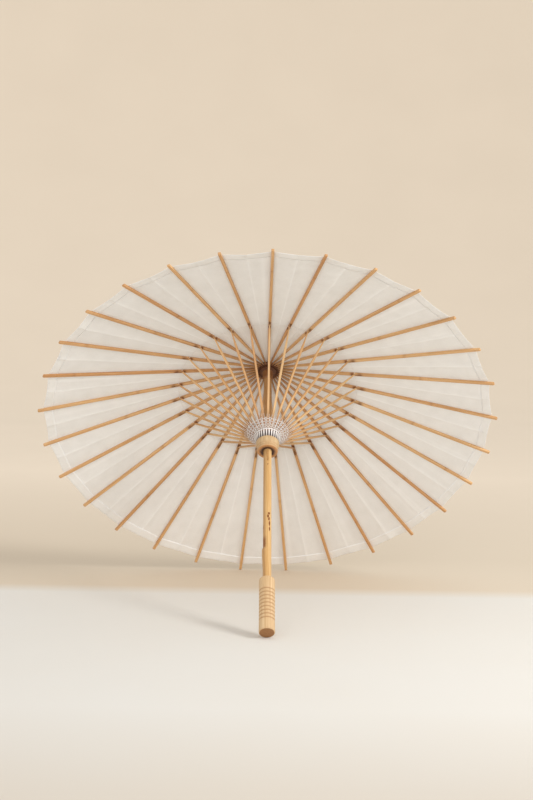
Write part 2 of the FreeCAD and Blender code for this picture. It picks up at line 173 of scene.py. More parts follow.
class Look:
    """A material in the making, with short calls for the nodes that it is built from."""

    def __init__(self, name, roughness):
        self.material = bpy.data.materials.new(name)
        self.material.use_nodes = True
        self.tree = self.material.node_tree
        self.surface = self.tree.nodes["Principled BSDF"]
        self.surface.inputs["Roughness"].default_value = roughness

    def add(self, kind, settings=(), **inputs):
        """A new node; inputs are values or the sockets that feed them, by name or as in_0, in_1."""
        node = self.tree.nodes.new(kind)
        for key, value in settings:
            setattr(node, key, value)
        for key, value in inputs.items():
            socket = node.inputs[int(key[3:])] if key.startswith("in_") else node.inputs[key]
            self.feed(socket, value)
        return node

    def feed(self, socket, value):
        if isinstance(value, bpy.types.NodeSocket):
            self.tree.links.new(value, socket)
        else:
            socket.default_value = value

    def coords(self):
        return self.add("ShaderNodeTexCoord").outputs["Object"]

    def upright(self):
        """Coordinates along the umbrella's own axes for a CAD node, whose object sits at the origin."""
        shifted = self.vector_math("SUBTRACT", self.coords(), ORIGIN)["Vector"]
        along = [self.vector_math("DOT_PRODUCT", shifted, axis)["Value"] for axis in (RIGHT, BACK, UP)]
        return self.add("ShaderNodeCombineXYZ", in_0=along[0], in_1=along[1], in_2=along[2]).outputs[0]

    def part(self, vector, axis):
        return self.add("ShaderNodeSeparateXYZ", in_0=vector).outputs[axis]

    def vector_math(self, operation, a, b=(0.0, 0.0, 0.0)):
        return self.add("ShaderNodeVectorMath", [("operation", operation)], in_0=a, in_1=b).outputs

    def flat(self, vector):
        return self.vector_math("MULTIPLY", vector, (1.0, 1.0, 0.0))["Vector"]

    def radius(self, vector):
        """Distance from the shaft's axis."""
        return self.vector_math("LENGTH", self.flat(vector))["Value"]

    def attribute(self, name):
        return self.add("ShaderNodeAttribute", [("attribute_name", name)]).outputs["Fac"]

    def stretched(self, vector, scale):
        """Coordinates scaled along each axis, moved to another part of the pattern for each piece's seed."""
        seed = self.math("MULTIPLY", self.attribute("seed"), 37.0)
        shift = self.add("ShaderNodeCombineXYZ", in_0=seed, in_1=seed, in_2=seed).outputs[0]
        scaled = self.vector_math("MULTIPLY", vector, scale)["Vector"]
        return self.vector_math("ADD", scaled, shift)["Vector"]

    def noise(self, vector, scale, detail=3.0, distortion=0.0):
        shape = {"Scale": scale, "Detail": detail, "Distortion": distortion}
        return self.add("ShaderNodeTexNoise", Vector=vector, **shape).outputs[0]

    def math(self, operation, a, b=0.0):
        return self.add("ShaderNodeMath", [("operation", operation)], in_0=a, in_1=b).outputs[0]

    def fit(self, value, low, high, to_low=0.0, to_high=1.0):
        """value's range low to high stretched to another range, and held inside it."""
        names = {"From Min": low, "From Max": high, "To Min": to_low, "To Max": to_high}
        return self.add("ShaderNodeMapRange", Value=value, **names).outputs[0]

    def mix(self, share, a, b, blend="MIX"):
        node = self.add("ShaderNodeMix", [("data_type", "RGBA"), ("blend_type", blend)])
        self.feed(node.inputs[0], share)
        self.feed(node.inputs[6], a)
        self.feed(node.inputs[7], b)
        return node.outputs[2]

    def finish(self, colour, bumps=(), roughness=None):
        """Sets the colour and stacks bumps, each (height, distance in metres)."""
        self.feed(self.surface.inputs["Base Color"], colour)
        normal = None
        for height, distance in bumps:
            bump = self.add("ShaderNodeBump", Height=height, Distance=distance)
            if normal is not None:
                self.feed(bump.inputs["Normal"], normal)
            normal = bump.outputs[0]
        if normal is not None:
            self.feed(self.surface.inputs["Normal"], normal)
        if roughness is not None:
            self.feed(self.surface.inputs["Roughness"], roughness)
        return self.material


def bamboo(name, along, light, mid, dark):
    """Split or whole bamboo with its fibres along axis number along."""
    look = Look(name, 0.42)
    coords = look.coords()
    fibres = look.noise(look.stretched(coords, scale_along(along, 22.0, 1900.0)), 1.0, 4.0)
    bands = look.noise(look.stretched(coords, scale_along(along, 9.0, 420.0)), 1.0, 2.0)
    patches = look.noise(look.stretched(coords, scale_along(along, 14.0, 60.0)), 1.0, 2.0)
    colour = look.mix(look.fit(bands, 0.35, 0.65), mid, light)
    colour = look.mix(look.fit(fibres, 0.52, 0.78, 0.0, 0.75), colour, dark)
    tint = look.fit(look.attribute("seed"), 0.0, 1.0, 0.0, 0.5)
    colour = look.mix(tint, colour, look.mix(1.0, colour, mid, "MULTIPLY"))
    colour = look.mix(look.fit(patches, 0.55, 0.8, 0.0, 0.35), colour, dark)
    # darker where marked: real scars and pits on the shaft, and painted shade at the ribs' joints and the
    # stretchers' inner ends
    colour = look.mix(look.attribute("scar_and_painted_shade"), colour, srgb(112, 56, 14))
    # browner where marked: the ribs' node rings, and painted shade on the shaft's upper end and left side
    colour = look.mix(look.fit(look.attribute("node_ring_and_painted_shade"), 0.0, 1.0, 0.0, 0.6), colour, srgb(142, 86, 40))
    rough = look.math("MAXIMUM", look.fit(fibres, 0.3, 0.7, 0.36, 0.58), look.attribute("scar_and_painted_shade"))
    return look.finish(colour, [(fibres, 0.00012), (patches, 0.0002)], rough)


def scale_along(axis, along, crosswise):
    scale = [crosswise] * 3
    scale[axis] = along
    return scale


def turned_wood(name, coords_of, light, dark, line):
    """Pale hardwood turned on a lathe: grain along the shaft and faint tool lines round it."""
    look = Look(name, 0.5)
    coords = coords_of(look)
    grain = look.noise(look.stretched(coords, (330.0, 330.0, 9.0)), 1.0, 4.0, 0.6)
    pores = look.noise(look.stretched(coords, (1500.0, 1500.0, 60.0)), 1.0, 3.0)
    lines = look.noise(look.stretched(coords, (3.0, 3.0, 900.0)), 1.0, 2.0)
    colour = look.mix(look.fit(grain, 0.32, 0.7), dark, light)
    colour = look.mix(look.fit(pores, 0.6, 0.75, 0.0, 0.45), colour, line)
    colour = look.mix(look.fit(look.attribute("groove"), 0.0, 1.0, 0.0, 0.85), colour, line)
    return look, colour, [(lines, 0.00010), (pores, 0.00008)]


def handle_wood():
    tones = srgb(216, 187, 145), srgb(190, 155, 111), srgb(156, 110, 64)
    look, colour, bumps = turned_wood("handle_wood", Look.coords, *tones)
    return look.finish(colour, bumps)


def end_grain():
    """The sawn end of the handle: brown, with growth rings off centre."""
    look = Look("end_grain", 0.7)
    coords = look.coords()
    flat = look.flat(look.vector_math("ADD", coords, (0.004, -0.009, 0.0))["Vector"])
    kind = [("wave_type", "RINGS"), ("rings_direction", "SPHERICAL")]
    shape = {"Scale": 190.0, "Distortion": 2.2, "Detail": 3.0}
    rings = look.add("ShaderNodeTexWave", kind, Vector=flat, **shape).outputs[1]
    specks = look.noise(coords, 1600.0, 3.0)
    colour = look.mix(look.fit(rings, 0.2, 0.8), srgb(132, 88, 50), srgb(176, 128, 80))
    colour = look.mix(look.fit(specks, 0.5, 0.75, 0.0, 0.6), colour, srgb(104, 66, 36))
    return look.finish(colour, [(specks, 0.0003), (rings, 0.0001)])


def notch_wood_painted_shade():
    """The top notch: teeth painted dark for the shade under the crown, round a neck painted as brown as the
    stick's shaded upper end.
    """
    tones = srgb(112, 64, 32), srgb(64, 32, 14), srgb(42, 20, 8)
    look, colour, bumps = turned_wood("notch_wood_painted_shade", Look.upright, *tones)
    coords = look.upright()
    grain = look.noise(look.stretched(coords, (900.0, 900.0, 30.0)), 1.0)
    neck = look.mix(grain, srgb(104, 60, 28), srgb(164, 112, 66))
    colour = look.mix(look.fit(look.radius(coords), 0.0098, 0.0092), colour, neck)
    return look.finish(colour, bumps)


def runner_wood():
    """The runner: whitened teeth above with painted shade deep in the slots between them, a turned tan band
    below and a dark hollow underneath.
    """
    tones = srgb(206, 180, 140), srgb(184, 153, 111), srgb(146, 108, 68)
    look, colour, bumps = turned_wood("runner_wood", Look.upright, *tones)
    coords = look.upright()
    height = look.part(coords, 2)
    rings = look.noise(look.add("ShaderNodeCombineXYZ", in_2=height).outputs[0], 190.0, 1.0)
    colour = look.mix(look.fit(rings, 0.48, 0.62, 0.0, 0.6), colour, srgb(170, 124, 78))
    radius = look.radius(coords)
    teeth = look.fit(height, RUNNER_SLOT_BOTTOM - 0.0002, RUNNER_SLOT_BOTTOM + 0.0006)
    # painted shade: the teeth are dark inside the slots, towards the core
    tooth_and_slot_shade = look.mix(look.fit(radius, 0.0196, 0.0212), srgb(84, 66, 54), srgb(232, 226, 222))
    colour = look.mix(teeth, colour, tooth_and_slot_shade)
    specks = look.noise(coords, 700.0, 3.0)
    ragged = look.math("ADD", radius, look.math("MULTIPLY", look.math("SUBTRACT", specks, 0.5), 0.006))
    brown = look.mix(look.fit(ragged, 0.0105, 0.0155), srgb(58, 30, 18), srgb(186, 134, 84))
    under = look.fit(height, RUNNER_BOTTOM + 0.0012, RUNNER_BOTTOM + 0.0004)
    colour = look.mix(under, colour, brown)
    return look.finish(colour, [*bumps, (rings, 0.0004), (specks, 0.0001)])


def dowel_wood():
    look = Look("dowel_wood", 0.65)
    coords = look.upright()
    grain = look.noise(look.stretched(coords, (60.0, 1400.0, 1400.0)), 1.0, 3.0)
    colour = look.mix(look.fit(grain, 0.35, 0.65), srgb(138, 96, 56), srgb(178, 132, 84))
    return look.finish(colour, [(grain, 0.0001)])


def catch_wood():
    look = Look("catch_wood", 0.45)
    coords = look.upright()
    fibres = look.noise(look.stretched(coords, (1800.0, 1800.0, 25.0)), 1.0, 4.0)
    colour = look.mix(look.fit(fibres, 0.35, 0.7), srgb(196, 150, 92), srgb(142, 96, 50))
    return look.finish(colour, [(fibres, 0.0001)])


def paper(name, tone, fibre_tone, crease_and_light_tone, through):
    """Oiled paper: long pale fibres, soft mottling and lighter folds, with some light passing through. The
    same lighter tone paints light along the rim strip's edges.
    """
    look = Look(name, 0.55)
    look.surface.inputs["Coat Weight"].default_value = 0.08
    look.surface.inputs["Coat Roughness"].default_value = 0.45
    coords = look.coords()
    mottle = look.noise(look.stretched(coords, (45.0, 45.0, 45.0)), 1.0, 3.0)
    pulp = look.noise(look.stretched(coords, (700.0, 700.0, 700.0)), 1.0, 4.0, 1.5)
    strands = look.noise(look.stretched(coords, (90.0, 620.0, 620.0)), 1.0, 3.0, 2.2)
    thin = look.math("ABSOLUTE", look.math("SUBTRACT", strands, 0.5))
    strand_share = look.fit(thin, 0.0, 0.035, 0.5, 0.0)
    colour = look.mix(look.fit(mottle, 0.3, 0.7), tone, look.mix(0.3, tone, crease_and_light_tone))
    colour = look.mix(look.fit(pulp, 0.45, 0.75, 0.0, 0.35), colour, fibre_tone)
    colour = look.mix(strand_share, colour, fibre_tone)
    # lighter along the folds, and painted light along the rim strip's edges
    colour = look.mix(look.attribute("crease"), colour, crease_and_light_tone)
    material = look.finish(colour, [(pulp, 0.00006), (mottle, 0.0004), (strands, 0.00004)])
    glow = look.add("ShaderNodeBsdfTranslucent", Color=colour)
    mixed = look.add("ShaderNodeMixShader", in_0=through, in_1=look.surface.outputs[0], in_2=glow.outputs[0])
    look.tree.links.new(mixed.outputs[0], look.tree.nodes["Material Output"].inputs["Surface"])
    return material


def thread(name, tone, shade):
    """Twisted cotton thread."""
    look = Look(name, 0.8)
    look.surface.inputs["Sheen Weight"].default_value = 0.3
    coords = look.coords()
    twist = look.add(
        "ShaderNodeTexWave", [("bands_direction", "DIAGONAL")], Vector=coords, Scale=2200.0, Distortion=1.0
    ).outputs[1]
    fuzz = look.noise(coords, 3000.0, 2.0)
    colour = look.mix(look.fit(twist, 0.2, 0.9), shade, tone)
    return look.finish(colour, [(twist, 0.00008), (fuzz, 0.00005)])


# ---- mesh helpers ----
def new_piece(name, vertices, faces, material, place=PLACE, smooth_angle=40.0):
    """A mesh object made upright and set in its place. Its seed picks its own stretch of each pattern."""
    mesh = bpy.data.meshes.new(name)
    mesh.from_pydata([tuple(v) for v in vertices], [], faces)
    mesh.validate()
    mesh.polygons.foreach_set("use_smooth", [True] * len(mesh.polygons))
    mesh.set_sharp_from_angle(angle=math.radians(smooth_angle))
    mesh.materials.append(material)
    piece = bpy.data.objects.new(name, mesh)
    bpy.context.scene.collection.objects.link(piece)
    piece.matrix_world = place
    paint(piece, "seed", [random.Random(name).random()] * len(mesh.vertices))
    return piece


def paint(piece, attribute, values):
    """Gives each of a piece's points a value for its material to read."""
    layer = piece.data.attributes.new(attribute, "FLOAT", "POINT")
    layer.data.foreach_set("value", values)


def lathe(profile, segments, radius_at=None):
    """Points and faces of a surface turned round Z, from (radius, z), closed where the radius is 0."""
    vertices, rings, faces = [], [], []
    for radius, z in profile:
        if radius == 0:
            rings.append([len(vertices)])
            vertices.append(Vector((0, 0, z)))
            continue
        rings.append(list(range(len(vertices), len(vertices) + segments)))
        for k in range(segments):
            angle = math.tau * k / segments
            here = radius_at(radius, angle, z) if radius_at else radius
            vertices.append(Vector((here * math.cos(angle), here * math.sin(angle), z)))
    for low, high in zip(rings, rings[1:]):
        for k in range(segments):
            n = (k + 1) % segments
            if len(low) == 1:
                faces.append((low[0], high[n], high[k]))
            elif len(high) == 1:
                faces.append((low[k], low[n], high[0]))
            else:
                faces.append((low[k], low[n], high[n], high[k]))
    return vertices, faces


def arc(centre, radius, start, end, count):
    """Points of a circle's arc in a profile, angles in degrees from +radius towards +z."""
    angles = [math.radians(start + (end - start) * k / count) for k in range(count + 1)]
    return [(centre[0] + radius * math.cos(a), centre[1] + radius * math.sin(a)) for a in angles]


def tube(path, radius, sides=8, closed=False):
    """Points and faces of a round tube along a path, with flat ends unless it is closed."""
    vertices, faces, count = [], [], len(path)
    for i, point in enumerate(path):
        before = path[i - 1] if closed or i else path[i]
        after = path[(i + 1) % count] if closed or i < count - 1 else path[i]
        ahead = (after - before).normalized()
        side = ahead.cross(Vector((0, 0, 1)) if abs(ahead.z) < 0.9 else Vector((0, 1, 0))).normalized()
        over = side.cross(ahead)
        for k in range(sides):
            angle = math.tau * k / sides
            vertices.append(point + radius * (math.cos(angle) * side + math.sin(angle) * over))
    for i in range(count if closed else count - 1):
        a, b = i * sides, (i + 1) % count * sides
        faces += [(a + k, a + (k + 1) % sides, b + (k + 1) % sides, b + k) for k in range(sides)]
    if not closed:
        faces += [tuple(reversed(range(sides))), tuple(range((count - 1) * sides, count * sides))]
    return vertices, faces


def joined(shapes):
    """Several (points, faces) as one."""
    vertices, faces = [], []
    for points, polygons in shapes:
        shift = len(vertices)
        vertices += points
        faces += [tuple(i + shift for i in polygon) for polygon in polygons]
    return vertices, faces


def smoothstep(value, low, high):
    share = min(1.0, max(0.0, (value - low) / (high - low)))
    return share * share * (3 - 2 * share)


# ---- bars of split bamboo ----
def bar_stations(length, end_depth, depth, width_at, joints, end_steps=4):
    """Places along a bar with rounded ends, as (x, half width, half depth)."""
    stations = []
    for k in range(end_steps, 0, -1):
        angle = math.pi / 2 * k / end_steps
        half = end_depth / 2
        stations.append((-half * math.sin(angle), width_at(0) / 2, max(half * math.cos(angle), half * 0.12)))
    for x in joints:
        share = smoothstep(x, 0.0, 0.014)
        stations.append((x, width_at(x) / 2, (end_depth + (depth - end_depth) * share) / 2))
    for k in range(1, end_steps + 1):
        angle = math.pi / 2 * k / end_steps
        half = depth / 2
        deep = max(half * math.cos(angle), half * 0.12)
        stations.append((length + half * math.sin(angle), width_at(length) / 2, deep))
    return stations


def bar_mesh(stations, corner, slot=None):
    """A lofted bar along +X. slot is (start, end, half width, roof) of a slot cut from below."""
    vertices, faces = [], []
    ring_size = 10
    for x, half, deep in stations:
        c = min(corner, 0.45 * half, 0.45 * deep)
        middle = min(slot[2] if slot else half * 0.4, half - c - 0.0001)
        section = [
            (-half + c, -deep), (-middle, -deep), (middle, -deep), (half - c, -deep), (half, -deep + c),
            (half, deep - c), (half - c, deep), (-half + c, deep), (-half, deep - c), (-half, -deep + c),
        ]
        vertices += [Vector((x, y, z)) for y, z in section]
    inside = [bool(slot) and slot[0] - 1e-6 <= s[0] <= slot[1] + 1e-6 for s in stations]
    roof = {}
    for i, station in enumerate(stations):
        if inside[i]:
            roof[i] = len(vertices)
            vertices += [Vector((station[0], y, slot[3])) for y in (-slot[2], slot[2])]
    for i in range(len(stations) - 1):
        a, b = i * ring_size, (i + 1) * ring_size
        cut = inside[i] and inside[i + 1]
        for k in range(ring_size):
            n = (k + 1) % ring_size
            if k == 1 and cut:
                p, q = roof[i], roof[i + 1]
                faces += [(a + 1, p, q, b + 1), (p, p + 1, q + 1, q), (p + 1, a + 2, b + 2, q + 1)]
            else:
                faces.append((a + k, a + n, b + n, b + k))
        if inside[i] and not (i and inside[i - 1]):
            faces.append((a + 1, a + 2, roof[i] + 1, roof[i]))
        if inside[i + 1] and (i + 2 == len(stations) or not inside[i + 2]):
            faces.append((roof[i + 1], roof[i + 1] + 1, b + 2, b + 1))
    last = (len(stations) - 1) * ring_size
    faces += [tuple(reversed(range(ring_size))), tuple(range(last, last + ring_size))]
    return vertices, faces


def rib_width(x):
    """A rib's width: a thin tongue at the hinge, then widening to its full width."""
    if x < RIB_TAPER_START:
        step = smoothstep(x, RIB_TAPER_START - 0.004, RIB_TAPER_START)
        return RIB_TONGUE_WIDTH + (RIB_TAPER_WIDTH - RIB_TONGUE_WIDTH) * step
    share = min(1.0, (x - RIB_TAPER_START) / (RIB_TAPER_END - RIB_TAPER_START))
    return RIB_TAPER_WIDTH + (RIB_WIDTH - RIB_TAPER_WIDTH) * share


def rib_pieces(material):
    """29 ribs of split bamboo, each with a slot for its stretcher and a swollen node of its own."""
    start, end = JOINT_DISTANCE - RIB_SLOT_INWARD, JOINT_DISTANCE + RIB_SLOT_OUTWARD
    step = 0.003
    places = [k * step for k in range(int(RIB_LENGTH / step) + 1)] + [RIB_LENGTH]
    clear = {x for x in places if min(abs(x - start), abs(x - end)) > 0.4 * step}
    places = sorted(clear | {start, end})
    slot = (start, end, RIB_SLOT_WIDTH / 2, RIB_DEPTH / 2 - RIB_SLOT_ROOF)
    stations = bar_stations(RIB_LENGTH, RIB_TONGUE_DEPTH, RIB_DEPTH, rib_width, places)
    for i, rib in enumerate(RIBS):
        pick = random.Random(f"{rib}_node")
        node = pick.uniform(0.215, 0.36)
        shaped = [(x, half + 0.00006 * swelling(x, node), deep) for x, half, deep in stations]
        vertices, faces = bar_mesh(shaped, RIB_CHAMFER, slot)
        place = PLACE @ turn(i) @ ALONG_RIB
        piece = new_piece(f"bamboo_{rib}", vertices, faces, material, place, 35.0)
        paint(piece, "node_ring_and_painted_shade", [swelling(v.x, node) * 0.6 for v in vertices])
        # painted shade at the hinge, in the slot and round the joint
        paint(piece, "scar_and_painted_shade", [rib_painted_shade(v, start, end) for v in vertices])
        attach(piece, rib)
        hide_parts(rib)


def swelling(x, node):
    """1 at a bamboo node and fading within 3 mm of it."""
    return math.exp(-(((x - node) / 0.0024) ** 2))


def rib_painted_shade(point, start, end):
    """Painted shade near the hinge, in the slot's inner end and just outside the joint."""
    hub = 0.42 * (1 - smoothstep(point.x, 0.006, 0.060))
    inner = math.exp(-(((point.x - start - 0.001) / 0.0035) ** 2))
    outer = 0.7 * math.exp(-(((point.x - JOINT_DISTANCE - 0.010) / 0.0045) ** 2))
    under = 1.0 if point.z < RIB_DEPTH / 2 - 0.0006 else 0.3
    in_slot = start - 1e-6 <= point.x <= end + 1e-6 and abs(point.y) < RIB_SLOT_WIDTH / 2 + 1e-6
    return max(hub, under * inner, under * outer, 0.2 if in_slot else 0.0)


def stretcher_width(x):
    """A stretcher's width: full between its tapers, and a thin tongue at both ends."""
    inner = smoothstep(x, 0.008, 0.014)
    outer = smoothstep(STRETCHER_LENGTH - x, 0.008, 0.034)
    return STRETCHER_TONGUE_WIDTH + (STRETCHER_WIDTH - STRETCHER_TONGUE_WIDTH) * min(inner, outer)


def stretcher_pieces(material):
    """29 stretchers that swing on the runner and always point at their ribs' joints."""
    step = 0.004
    places = [k * step for k in range(int(STRETCHER_LENGTH / step) + 1)] + [STRETCHER_LENGTH]
    depth = STRETCHER_DEPTH
    stations = bar_stations(STRETCHER_LENGTH, depth, depth, stretcher_width, places)
    vertices, faces = bar_mesh(stations, STRETCHER_CHAMFER)
    pivot = Matrix.Translation((RUNNER_PIVOT_RADIUS, 0, RUNNER_PIVOT_Z))
    pivot @= Matrix.Rotation(-STRETCHER_ANGLE, 4, "Y")
    pieces = []
    for i, rib in enumerate(RIBS):
        aim = bpy.data.objects.new(f"aim_{rib}", None)
        bpy.context.scene.collection.objects.link(aim)
        aim.matrix_world = PLACE @ turn(i) @ Matrix.Translation((JOINT_RADIUS, 0, JOINT_Z))
        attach(aim, rib)
        place = PLACE @ turn(i) @ pivot
        piece = new_piece(f"stretcher_{i + 1:02d}", vertices, faces, material, place, 35.0)
        # painted shade on each stretcher's inner end, where the stretchers crowd round the runner
        paint(piece, "scar_and_painted_shade", [0.72 - 0.72 * smoothstep(v.x, 0.014, 0.046) for v in vertices])
        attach(piece, "runner")
        track = piece.constraints.new("DAMPED_TRACK")
        track.target = aim
        track.track_axis = "TRACK_X"
        pieces.append(piece)
    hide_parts("stretchers")
    return pieces


# ---- threads ----
LACING_ROWS = 4
LACING_START = 0.0060
LACING_REACH = (0.026, 0.038)
LACING_PITCH = 0.0048
LACING_RADIUS = 0.00042


def lacing_pieces(stretchers, material):
    """The net of white thread round the stretchers' inner ends. Each has half of every crossing."""
    for i, stretcher in enumerate(stretchers):
        pick = random.Random(f"lacing_{i}")
        shapes = []
        for row in range(LACING_ROWS):
            x = LACING_START + row * LACING_PITCH
            shapes.append(wrap_round_bar(x))
            shapes += crossing_halves(x, pick)
        shapes += edge_threads(LACING_START, pick.uniform(*LACING_REACH))
        vertices, faces = joined(shapes)
        place = stretcher.matrix_world.copy()
        piece = new_piece(f"lacing_{i + 1:02d}", vertices, faces, material, place, 60.0)
        piece.parent = stretcher
        piece.matrix_parent_inverse = Matrix.Identity(4)
        piece.matrix_basis = Matrix.Identity(4)
        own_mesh(piece)
    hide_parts("runner_lacing")


def wrap_round_bar(x):
    """One turn of thread round a stretcher."""
    half = stretcher_width(x) / 2 + LACING_RADIUS * 0.6
    deep = STRETCHER_DEPTH / 2 + LACING_RADIUS * 0.6
    corner = 0.0006
    path = []
    for y, z, start in ((half, deep, 0), (-half, deep, 90), (-half, -deep, 180), (half, -deep, 270)):
        centre = Vector((0, y - math.copysign(corner, y), z - math.copysign(corner, z)))
        for k in range(4):
            angle = math.radians(start + 30 * k)
            path.append(centre + Vector((x, corner * math.cos(angle), corner * math.sin(angle))))
    return tube(path, LACING_RADIUS, 6, closed=True)


def crossing_halves(x, pick):
    """Threads from one turn to the middle of the gap on each side, leaning in and out."""
    shapes = []
    for side in (-1, 1):
        for lean in (-1, 1):
            meet = x + lean * LACING_PITCH / 2
            radius = RUNNER_PIVOT_RADIUS + meet * math.cos(STRETCHER_ANGLE)
            gap = radius * math.tan(STEP / 2)
            start = Vector((x, side * stretcher_width(x) / 2, pick.uniform(-0.0010, 0.0004)))
            end = Vector((meet, side * gap, -0.0004))
            shapes.append(tube([start, start.lerp(end, 0.5), end], LACING_RADIUS, 6))
    return shapes


def edge_threads(start, end):
    """Two threads that run along a stretcher's lower edges, from turn to turn and a little beyond."""
    shapes = []
    for side in (-1, 1):
        path = []
        for k in range(13):
            x = start + (end - start) * k / 12
            y = side * (stretcher_width(x) / 2 + 0.0001)
            path.append(Vector((x, y, -STRETCHER_DEPTH / 2 - 0.0001)))
        shapes.append(tube(path, THREAD_RADIUS * 0.8, 6))
    return shapes


def joint_thread_pieces(material):
    """The thread strung from joint to joint under the paper, a stretch on each rib, with its knot."""
    half = JOINT_RADIUS * math.sin(STEP / 2)
    chord = JOINT_RADIUS * math.cos(STEP / 2) - JOINT_RADIUS
    low = JOINT_Z - 0.0006
    for i, rib in enumerate(RIBS):
        ends = [Vector((JOINT_RADIUS + chord, side * half * 0.9999, low)) for side in (-1, 1)]
        middle = Vector((JOINT_RADIUS, 0, JOINT_Z))
        side_step = Vector((0, RIB_WIDTH / 2 + 0.0004, 0))
        shapes = [tube([ends[0], middle - side_step, middle + side_step, ends[1]], 0.00022, 6)]
        for side in (-1, 1):
            knot = middle + side * side_step
            ring = [knot + 0.0006 * Vector((math.cos(a), 0, math.sin(a))) for a in ring_angles(10)]
            shapes.append(tube(ring, 0.00035, 6, closed=True))
        vertices, faces = joined(shapes)
        place = PLACE @ turn(i)
        piece = new_piece(f"joint_thread_{i + 1:02d}", vertices, faces, material, place, 60.0)
        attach(piece, rib)
        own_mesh(piece)
    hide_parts("joint_thread")


def ring_angles(count):
    return [math.tau * k / count for k in range(count)]


def runner_binding(material):
    """White thread wound round the runner's teeth, just under the stretchers."""
    shapes = []
    for stand_off, drop in ((0.0007, 0.0034), (0.0006, 0.0042)):
        radius, z = RUNNER_RADIUS + stand_off, RUNNER_TOP - drop
        ring = [Vector((radius * math.cos(a), radius * math.sin(a), z)) for a in ring_angles(174)]
        shapes.append(tube(ring, 0.0005, 8, closed=True))
    vertices, faces = joined(shapes)
    piece = new_piece("runner_binding", vertices, faces, material, PLACE, 60.0)
    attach(piece, "runner")


# ---- the paper ----
def panel_shares():
    """Places across a panel, 0 on its rib and -0.5 and 0.5 at its two creases, closer near both."""
    half = [0.0, 0.03, 0.07, 0.13, 0.2, 0.27, 0.34, 0.4, 0.445, 0.475, 0.49, 0.5]
    return [-t for t in reversed(half[1:])] + half


def cone_height(radius):
    """How high the ribs' middle lines are at a radius, open."""
    return (CANOPY_RADIUS - radius) * math.tan(RIB_SLOPE)


def paper_point(index, radius, share, lift):
    """A point of the cover on the panel of rib number index, before leaning. lift is along the shaft."""
    side = abs(share)
    reach = radius / PAPER_RIM_RADIUS
    curved = radius - SCALLOP * reach ** 10 * math.sin(math.pi * side)
    angle = math.copysign(STEP, share)
    x = curved * (1 - side + side * math.cos(angle))
    y = curved * side * math.sin(angle)
    sag = PAPER_SAG * reach * math.sin(math.pi * side)
    sag += CREASE_DEPTH * reach * math.exp(-(0.5 - side) / 0.035)
    z = cone_height(curved) + lift - sag
    flat = turn(index) @ Vector((x, y, 0))
    rough = smoothstep(radius, 0.20, PAPER_RIM_RADIUS) * math.sin(math.pi * side)
    wave = noise.noise(Vector((flat.x * 34, flat.y * 34, 1.7)))
    fine = noise.noise(Vector((flat.x * 110, flat.y * 110, 5.1)))
    tight = noise.noise(Vector((flat.x * 60 + flat.y * 45, flat.y * 12, 9.3)))
    tight *= smoothstep(radius, 0.31, PAPER_RIM_RADIUS)
    z += (0.0013 * wave + 0.0005 * fine + 0.0011 * tight) * rough
    return Vector((x, y, z))


PAPER_BASE = (RIB_DEPTH / 2 + PAPER_LIFT) / math.cos(RIB_SLOPE)


def panel_pieces(material):
    """29 panels of paper, each pasted on its rib and creased half way to the next."""
    shares = panel_shares()
    radii = [PAPER_INNER_RADIUS + (PAPER_RIM_RADIUS - PAPER_INNER_RADIUS) * k / 54 for k in range(55)]
    for i, rib in enumerate(RIBS):
        grid = [[paper_point(i, r, t, PAPER_BASE) for t in shares] for r in radii]
        piece = grid_piece(f"paper_panel_{i + 1:02d}", grid, material, i)
        paint(piece, "crease", panel_creases(i, radii, shares))
        thicken(piece, PAPER_THICKNESS)
        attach(piece, rib)
        fold_with(piece)
    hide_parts("paper_cover")


def panel_creases(index, radii, shares):
    """How far each point lies on a crease: the fold at the panel's edge and a fainter one beside it."""
    pick = random.Random(f"crease_{index}")
    second, strength = pick.uniform(-0.42, 0.42), pick.uniform(0.0, 0.5)
    values = []
    for r in radii:
        for t in shares:
            fold = 0.9 * math.exp(-((0.5 - abs(t)) / 0.014))
            faint = strength * math.exp(-(((t - second) / 0.03) ** 2)) * smoothstep(r, 0.1, 0.3)
            values.append(min(1.0, fold * smoothstep(r, 0.05, 0.2) + faint))
    return values


def grid_piece(name, grid, material, index):
    """A sheet from rows of points, made towards +X for rib number index. Its own X runs along the rib."""
    width = len(grid[0])
    to_rib = ALONG_RIB.inverted()
    vertices = [to_rib @ point for row in grid for point in row]
    faces = []
    for j in range(len(grid) - 1):
        for k in range(width - 1):
            a = j * width + k
            faces.append((a, a + width, a + width + 1, a + 1))
    return new_piece(name, vertices, faces, material, PLACE @ turn(index) @ ALONG_RIB, 60.0)


def thicken(piece, thickness):
    solid = piece.modifiers.new("thickness", "SOLIDIFY")
    solid.thickness = thickness
    solid.offset = 1.0


def fold_with(piece):
    """Gives a sheet its own copy of its mesh."""
    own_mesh(piece)


def rim_pieces(material):
    """A strip of thinner paper folded over the rim, a length on each panel."""
    shares = panel_shares()
    below, above = PAPER_BASE - 0.00016, PAPER_BASE + PAPER_THICKNESS + 0.00008
    path = [(PAPER_RIM_RADIUS - RIM_STRIP_WIDTH * (6 - k) / 6, below) for k in range(7)]
    path += [(PAPER_RIM_RADIUS + 0.0003, (above + below) / 2)]
    path += [(PAPER_RIM_RADIUS - RIM_STRIP_WIDTH * k / 6, above) for k in range(7)]
    # painted light: bright lines along the strip's fold at the rim and along its two inner edges, over their
    # shadow line
    edges = (0, 7, 14)
    painted_edge_light = [1.0 if k in edges else 0.0 for k in range(len(path)) for _ in shares]
    for i, rib in enumerate(RIBS):
        grid = [[paper_point(i, r, t, lift) for t in shares] for r, lift in path]
        piece = grid_piece(f"rim_strip_{i + 1:02d}", grid, material, i)
        paint(piece, "crease", painted_edge_light)
        thicken(piece, 0.00008)
        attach(piece, rib)
        fold_with(piece)
    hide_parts("rim_strip")


